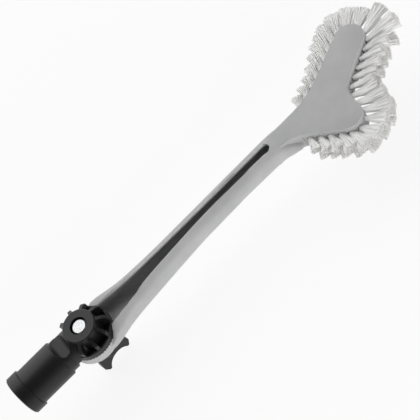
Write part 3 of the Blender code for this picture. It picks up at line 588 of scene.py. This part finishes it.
    # Every end is trimmed so that none passes the solid brush
    inset = Vector((2 * FILAMENT_RADIUS,) * 3)
    place = vectors("MAXIMUM", place, cad_low + inset)
    place = vectors("MINIMUM", place, cad_high - inset)
    bent = node("GeometryNodeSetPosition", ("Geometry", loose.outputs[0]),
                ("Position", place))
    marked = node("GeometryNodeStoreNamedAttribute", ("Geometry", bent.outputs[0]),
                  ("Name", "along"), ("Value", along), data_type="FLOAT", domain="POINT")
    section = node("GeometryNodeCurvePrimitiveCircle", ("Resolution", FILAMENT_SIDES),
                   ("Radius", given.outputs["Filament radius"]))
    tube = node("GeometryNodeCurveToMesh", ("Curve", marked.outputs[0]),
                ("Profile Curve", section.outputs[0]), ("Fill Caps", True))
    whole = node("GeometryNodeRealizeInstances", ("Geometry", tube.outputs[0]))
    dressed = node("GeometryNodeSetMaterial", ("Geometry", whole.outputs[0]),
                   ("Material", given.outputs["Material"]))
    link(dressed.outputs[0], made.inputs[0])
    return tree


# Painted shade on the white nylon: a little darker at the foot, where the head shades the
# tufts, and grey at the cut end, where shade falls among the ragged ends
NYLON_TONES_WITH_PAINTED_SHADE = (            # from the foot to the cut end
    (0.00, (0.95, 0.95, 0.94, 1)), (0.22, (0.99, 0.99, 0.98, 1)),
    (0.90, (0.99, 0.99, 0.98, 1)), (0.97, (0.88, 0.87, 0.86, 1)),
    (1.00, (0.74, 0.73, 0.72, 1)),
)
SHADE_SPAN = (0.96, 1.0)   # darkest and lightest filament
NYLON_ROUGHNESS = 0.55
NYLON_SHINE = 0.25


def nylon_filament():
    """White nylon with painted shade: a little darker at the foot, and greyer towards the cut
    ends.
    """
    material, tree, shader, node = new_nodes("white_nylon")
    link = tree.links.new
    along = node("ShaderNodeAttribute", attribute_name="along")
    shade = node("ShaderNodeAttribute", attribute_name="shade")
    ramp = node("ShaderNodeValToRGB")
    stops = ramp.color_ramp.elements
    for i, (position, colour) in enumerate(NYLON_TONES_WITH_PAINTED_SHADE):
        stop = stops[i] if i < 2 else stops.new(position)
        stop.position = position
        stop.color = colour
    link(along.outputs["Fac"], ramp.inputs["Fac"])
    vary = remapped(tree, shade.outputs["Fac"], (0.0, 1.0), SHADE_SPAN)
    link(toned(tree, ramp.outputs["Color"], vary), shader.inputs["Base Color"])
    shader.inputs["Roughness"].default_value = NYLON_ROUGHNESS
    shader.inputs["Specular IOR Level"].default_value = NYLON_SHINE
    return material


white_nylon = nylon_filament()
tuft_nodes = tuft_tree()


def tuft_piece(name, rows, seed, *nodes):
    """Grow the tufts of some feet into one piece, which may replace solid slices."""
    mesh = bpy.data.meshes.new(name)
    mesh.from_pydata([foot[:] for foot, aim, length, out in rows], [], [])
    side = [Vector((-aim.y, aim.x, 0.0)).normalized() for foot, aim, length, out in rows]
    rise = [aim.cross(s) for (foot, aim, length, out), s in zip(rows, side)]
    for key, values in (("aim", [r[1] for r in rows]), ("side", side), ("rise", rise)):
        layer = mesh.attributes.new(key, "FLOAT_VECTOR", "POINT")
        layer.data.foreach_set("vector", [x for v in values for x in v])
    swing = [sin(SWING_STEP * (i + seed)) for i in range(len(rows))]
    long = [r[2] * (1 + LENGTH_SPREAD * (s - 1) / 2) for r, s in zip(rows, swing)]
    tips = [foot + aim * length for foot, aim, length, out in rows]
    apart = [(there - here).length / 2 for here, there in zip(tips, tips[1:])]
    fans = [max(pair) * FAN_OVERLAP for pair in zip(apart[:1] + apart, apart + apart[-1:])]
    fans = [min(max(fan, TIP_HALF_WIDTHS[0]), TIP_HALF_WIDTHS[1]) for fan in fans]
    for key, values in (("length", long), ("turn", [SWING_TURN * s for s in swing]),
                        ("fan", fans), ("bow", [SWING_BOW * s for s in swing])):
        layer = mesh.attributes.new(key, "FLOAT", "POINT")
        layer.data.foreach_set("value", values)
    piece = bpy.data.objects.new(name, mesh)
    grow = piece.modifiers.new("tufts", "NODES")
    grow.node_group = tuft_nodes
    settings = {"Filaments": FILAMENTS, "Filament radius": FILAMENT_RADIUS,
                "Foot radius": FOOT_RADIUS, "Tip half height": TIP_HALF_HEIGHT,
                "Bends": FILAMENT_BENDS, "Seed": seed, "Material": white_nylon}
    for item in tuft_nodes.interface.items_tree:
        if item.in_out == "INPUT" and item.name in settings:
            grow[item.identifier] = settings[item.name]
    scene.collection.objects.link(piece)
    plain(piece)
    piece.data.shade_flat()
    if nodes:
        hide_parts(*nodes)
    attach(piece, "brush")


SLICES = 14
slices = [f"tufts_{i:02d}" for i in range(1, SLICES + 1)]
tuft_piece("front_row_tufts", tufts[:TUFTS_IN_ROW], 3, *slices)
tuft_piece("rear_row_tufts", tufts[TUFTS_IN_ROW:], 8)


# Pole socket
# Black glass-filled nylon, moulded in one: a barrel with a collar for the pole, a neck,
# and a toothed hub with ribs round the bolt's boss. Satin, with soft sheen on the rounds.
BLACK_NYLON = (0.006, 0.006, 0.0065, 1.0)
BLACK_NYLON_WORN = (0.022, 0.022, 0.023, 1.0)

black_plastic = moulded_plastic("black_plastic", BLACK_NYLON, BLACK_NYLON_WORN,
                                roughness=0.42, shine=0.42, grain=2200.0, relief=0.00002,
                                cloud=70.0, edge=0.0005)
pole_socket = skin_of("pole_socket", "pole_socket_moulding")
pole_socket.data.materials.append(black_plastic)
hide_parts("pole_socket")
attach(pole_socket, "socket")


# Pivot bolt
# A zinc-plated hexagon bolt. Its head lies sunk in the hub's boss, and its shank runs
# through socket, handle and washer into the wing nut.
ZINC = (0.66, 0.67, 0.68, 1.0)
MOTTLE_SPAN = (0.34, 0.60)   # of the noise, and of the tone that it gives
MOTTLE_TONES = (0.66, 1.05)
SMOOTHER, ROUGHER = 0.08, 0.10
METAL_EDGE = 0.0003
BOLT_ROUNDING = 0.0002
ROUNDING_STEPS = 2
ROUNDED_TURN = radians(40)   # edges that turn further are rounded


def round_edges(piece, width):
    """Round the edges of a turned or stamped piece."""
    bevel = piece.modifiers.new("rounding", "BEVEL")
    bevel.width = width
    bevel.segments = ROUNDING_STEPS
    bevel.limit_method = "ANGLE"
    bevel.angle_limit = ROUNDED_TURN
    bevel.use_clamp_overlap = True
    bevel.harden_normals = True
    plain(piece)


def metal(name, colour, roughness, fleck, relief):
    """Plated or turned metal: mottled brightness and faint marks in the surface."""
    material, tree, shader, node = new_nodes(name)
    link = tree.links.new
    place = node("ShaderNodeTexCoord")
    mottle = node("ShaderNodeTexNoise", Scale=fleck, Detail=4.0, Roughness=0.65)
    marks = node("ShaderNodeTexNoise", Scale=fleck * 4, Detail=2.0)
    for texture in (mottle, marks):
        link(place.outputs["Object"], texture.inputs["Vector"])
    tone = remapped(tree, mottle.outputs["Fac"], MOTTLE_SPAN, MOTTLE_TONES)
    link(toned(tree, colour, tone), shader.inputs["Base Color"])
    shader.inputs["Metallic"].default_value = 1.0
    gloss = remapped(tree, marks.outputs["Fac"], NOISE_SPAN,
                     (roughness - SMOOTHER, roughness + ROUGHER))
    link(gloss, shader.inputs["Roughness"])
    rounded = node("ShaderNodeBevel", samples=4)
    rounded.inputs["Radius"].default_value = METAL_EDGE
    pits = node("ShaderNodeBump", Strength=0.5, Distance=relief)
    link(marks.outputs["Fac"], pits.inputs["Height"])
    link(rounded.outputs["Normal"], pits.inputs["Normal"])
    link(pits.outputs["Normal"], shader.inputs["Normal"])
    return material


zinc_steel = metal("zinc_steel", ZINC, roughness=0.40, fleck=700.0, relief=0.00001)
bolt = skin_of("pivot_bolt", "hexagon_bolt")
bolt.data.materials.append(zinc_steel)
round_edges(bolt, BOLT_ROUNDING)
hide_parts("pivot_bolt")
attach(bolt, "bolt")


# Washer
# A flat ring stamped from sheet steel and zinc-plated. It lies loose on the bolt, and
# keeps the turning wing nut off the handle's rear boss.
WASHER_ROUNDING = 0.0002

washer_steel = metal("washer_steel", ZINC, roughness=0.40, fleck=500.0, relief=0.00002)
washer = skin_of("washer", "flat_washer")
washer.data.materials.append(washer_steel)
round_edges(washer, WASHER_ROUNDING)
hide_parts("washer")
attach(washer, "washer")


# Wing nut
# Black nylon moulded round a threaded brass insert, with two wings for the fingers. It
# screws onto the bolt's end and clamps the socket's teeth to the handle's.
KNOB_NYLON = (0.007, 0.007, 0.0075, 1.0)
KNOB_NYLON_WORN = (0.025, 0.025, 0.026, 1.0)
BRASS = (0.72, 0.53, 0.24, 1.0)
INSERT_ROUNDING = 0.00015

knob_plastic = moulded_plastic("knob_plastic", KNOB_NYLON, KNOB_NYLON_WORN,
                               roughness=0.42, shine=0.36, grain=2400.0, relief=0.00002,
                               cloud=90.0, edge=0.0006)
wing_nut = skin_of("wing_nut", "wing_nut_moulding")
wing_nut.data.materials.append(knob_plastic)
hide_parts("wing_nut")
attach(wing_nut, "nut")

insert_brass = metal("insert_brass", BRASS, roughness=0.32, fleck=900.0, relief=0.00001)
insert = skin_of("nut_insert", "threaded_insert")
insert.data.materials.append(insert_brass)
round_edges(insert, INSERT_ROUNDING)
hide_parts("nut_insert")
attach(insert, "nut")


# Table and light
# A plain white table and two big soft lamps, one along each side of the brush, so that
# its sides are bright and its front a little darker.
MIDDLE_X = 0.12            # of the brush
TABLE_SIZE = 8.0
TABLE_GAP = 0.0004         # under the lowest piece
TABLE_TONES = (0.83, 0.85)
TABLE_ROUGHNESS = 0.9
TABLE_SHINE = 0.1
WHITE_SHARE = 0.86         # of plain white in what the camera and the gloss see of it

bm = bmesh.new()
bmesh.ops.create_grid(bm, x_segments=1, y_segments=1, size=TABLE_SIZE)
floor = object_of(bm, "table")
floor.data.transform(Matrix.Translation((MIDDLE_X, 0.0, cad_low.z - TABLE_GAP)))
white_table, tree, shader, node = new_nodes("white_table")
grain = node("ShaderNodeTexNoise", Scale=40.0, Detail=3.0)
place = node("ShaderNodeTexCoord")
tree.links.new(place.outputs["Object"], grain.inputs["Vector"])
tint = remapped(tree, grain.outputs["Fac"], (0.0, 1.0), TABLE_TONES)
tree.links.new(tint, shader.inputs["Base Color"])
shader.inputs["Roughness"].default_value = TABLE_ROUGHNESS
shader.inputs["Specular IOR Level"].default_value = TABLE_SHINE
white = node("ShaderNodeEmission")
white.inputs["Strength"].default_value = 1.0
seen = node("ShaderNodeLightPath")
either = node("ShaderNodeMath", operation="MAXIMUM")
tree.links.new(seen.outputs["Is Camera Ray"], either.inputs[0])
tree.links.new(seen.outputs["Is Glossy Ray"], either.inputs[1])
any_of = node("ShaderNodeMath", operation="MAXIMUM")
tree.links.new(either.outputs[0], any_of.inputs[0])
tree.links.new(seen.outputs["Is Transmission Ray"], any_of.inputs[1])
share = node("ShaderNodeMath", operation="MULTIPLY")
share.inputs[1].default_value = WHITE_SHARE
tree.links.new(any_of.outputs[0], share.inputs[0])
mixed = node("ShaderNodeMixShader")
tree.links.new(share.outputs[0], mixed.inputs[0])
tree.links.new(shader.outputs[0], mixed.inputs[1])
tree.links.new(white.outputs[0], mixed.inputs[2])
tree.links.new(mixed.outputs[0], tree.nodes["Material Output"].inputs["Surface"])
floor.data.materials.append(white_table)

SKY_LIGHT = 0.46           # light from all round, but for
SKY_DARK = 0.04            # the dark place where the camera stands
DARK_WAY = (-0.008, -0.583, 0.812)
DARK_SPAN = (0.55, 0.92)   # cosines to that way at which it starts and is full

world = bpy.data.worlds.new("studio")
scene.world = world
world.use_nodes = True
tree = world.node_tree
sky = tree.nodes["Background"]
sky.inputs["Color"].default_value = (1, 1, 1, 1)
place = tree.nodes.new("ShaderNodeTexCoord")
toward = tree.nodes.new("ShaderNodeVectorMath")
toward.operation = "DOT_PRODUCT"
toward.inputs[1].default_value = DARK_WAY
tree.links.new(place.outputs["Generated"], toward.inputs[0])
shade = remapped(tree, toward.outputs["Value"], DARK_SPAN, (SKY_LIGHT, SKY_DARK))
shade.node.interpolation_type = "SMOOTHSTEP"
seen = tree.nodes.new("ShaderNodeLightPath")
level = tree.nodes.new("ShaderNodeMix")
tree.links.new(seen.outputs["Is Camera Ray"], level.inputs[0])
tree.links.new(shade, level.inputs[2])
level.inputs[3].default_value = 1.0
tree.links.new(level.outputs[0], sky.inputs["Strength"])


def soft_lamp(name, place, target, width, height, power, mirrored=True):
    """A large soft lamp that faces a point, and may be kept out of the gloss."""
    lamp = bpy.data.lights.new(name, "AREA")
    lamp.shape = "RECTANGLE"
    lamp.size, lamp.size_y = width, height
    lamp.energy = power
    holder = bpy.data.objects.new(name, lamp)
    holder.location = place
    way = Vector(target) - Vector(place)
    holder.rotation_euler = way.to_track_quat("-Z", "Y").to_euler()
    holder.visible_glossy = mirrored
    scene.collection.objects.link(holder)


middle = (MIDDLE_X, 0.0, -0.02)
soft_lamp("far_lamp", (0.12, 1.10, 0.92), middle, width=3.2, height=2.1, power=27.0)
soft_lamp("near_lamp", (0.16, -1.30, 0.30), middle, width=2.0, height=0.8, power=19.0,
          mirrored=False)

scene.view_settings.view_transform = "Standard"
